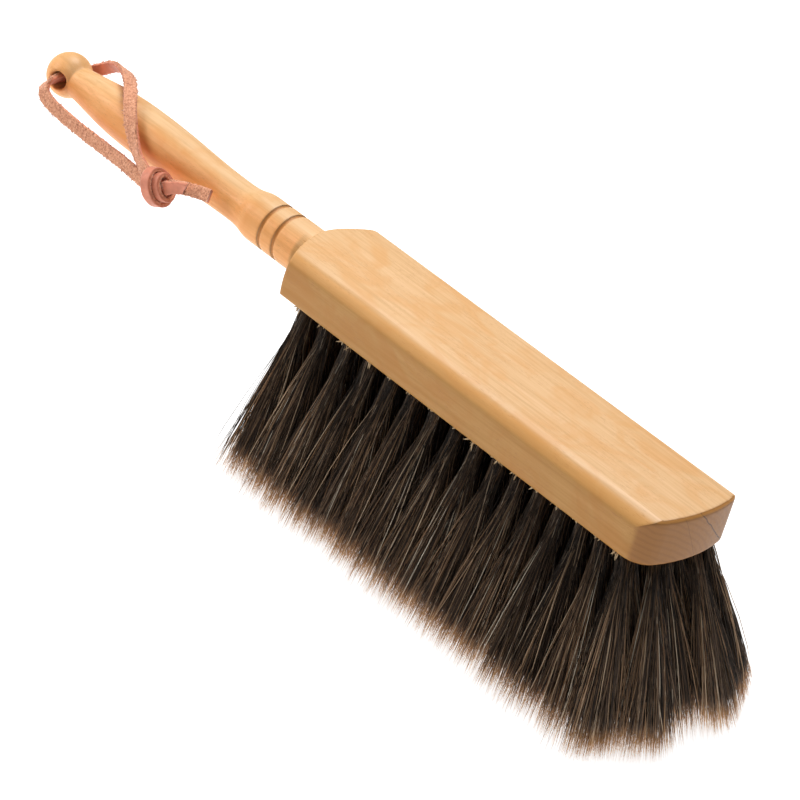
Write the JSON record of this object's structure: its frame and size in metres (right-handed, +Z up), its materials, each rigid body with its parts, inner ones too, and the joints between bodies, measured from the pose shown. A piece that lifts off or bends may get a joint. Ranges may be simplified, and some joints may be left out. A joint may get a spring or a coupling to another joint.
{
  "type": "hand brush",
  "caption": "Long beech hand brush: block with turned handle and ball end, rows of drilled-in horsehair tufts fanning at the front, knotted leather hanging thong.",
  "frame": {"origin": "middle of the middle tuft's tip, on the plane that the hair tips stand on", "axes": "+X along the brush from the handle towards the front, +Y across it, +Z up"},
  "size_m": [0.3888, 0.0976, 0.0865],
  "materials": {
    "beech": "satin",
    "horsehair": "natural",
    "anchor_wire": "brushed",
    "thong_leather": "matt"
  },
  "bodies": {
    "brush": {"beech_stock": "beech", "tufts_01": "horsehair", "tufts_02": "horsehair", "tufts_03": "horsehair", "tufts_04": "horsehair", "tufts_05": "horsehair", "tufts_06": "horsehair", "tufts_07": "horsehair", "tufts_08": "horsehair", "tufts_09": "horsehair", "tufts_10": "horsehair", "tufts_11": "horsehair", "tufts_12": "horsehair", "tufts_13": "horsehair", "tufts_14": "horsehair", "tufts_15": "horsehair", "tufts_16": "horsehair", "tufts_17": "horsehair", "anchors_01": "anchor_wire", "anchors_02": "anchor_wire", "anchors_03": "anchor_wire", "anchors_04": "anchor_wire", "anchors_05": "anchor_wire", "anchors_06": "anchor_wire", "anchors_07": "anchor_wire", "anchors_08": "anchor_wire", "anchors_09": "anchor_wire", "anchors_10": "anchor_wire", "anchors_11": "anchor_wire", "anchors_12": "anchor_wire", "anchors_13": "anchor_wire", "anchors_14": "anchor_wire", "anchors_15": "anchor_wire", "anchors_16": "anchor_wire", "anchors_17": "anchor_wire"},
    "thong": {"thong_near_leg": "thong_leather", "thong_far_leg": "thong_leather", "thong_knot": "thong_leather", "thong_short_tail": "thong_leather", "thong_long_tail": "thong_leather"}
  },
  "joints": [
    {"name": "thong_swing", "type": "hinge", "parent": "brush", "child": "thong", "pos_m": [-0.2509, 0, 0.0716], "axis": [0, -1, 0], "range_deg": [0, 305]}
  ]
}
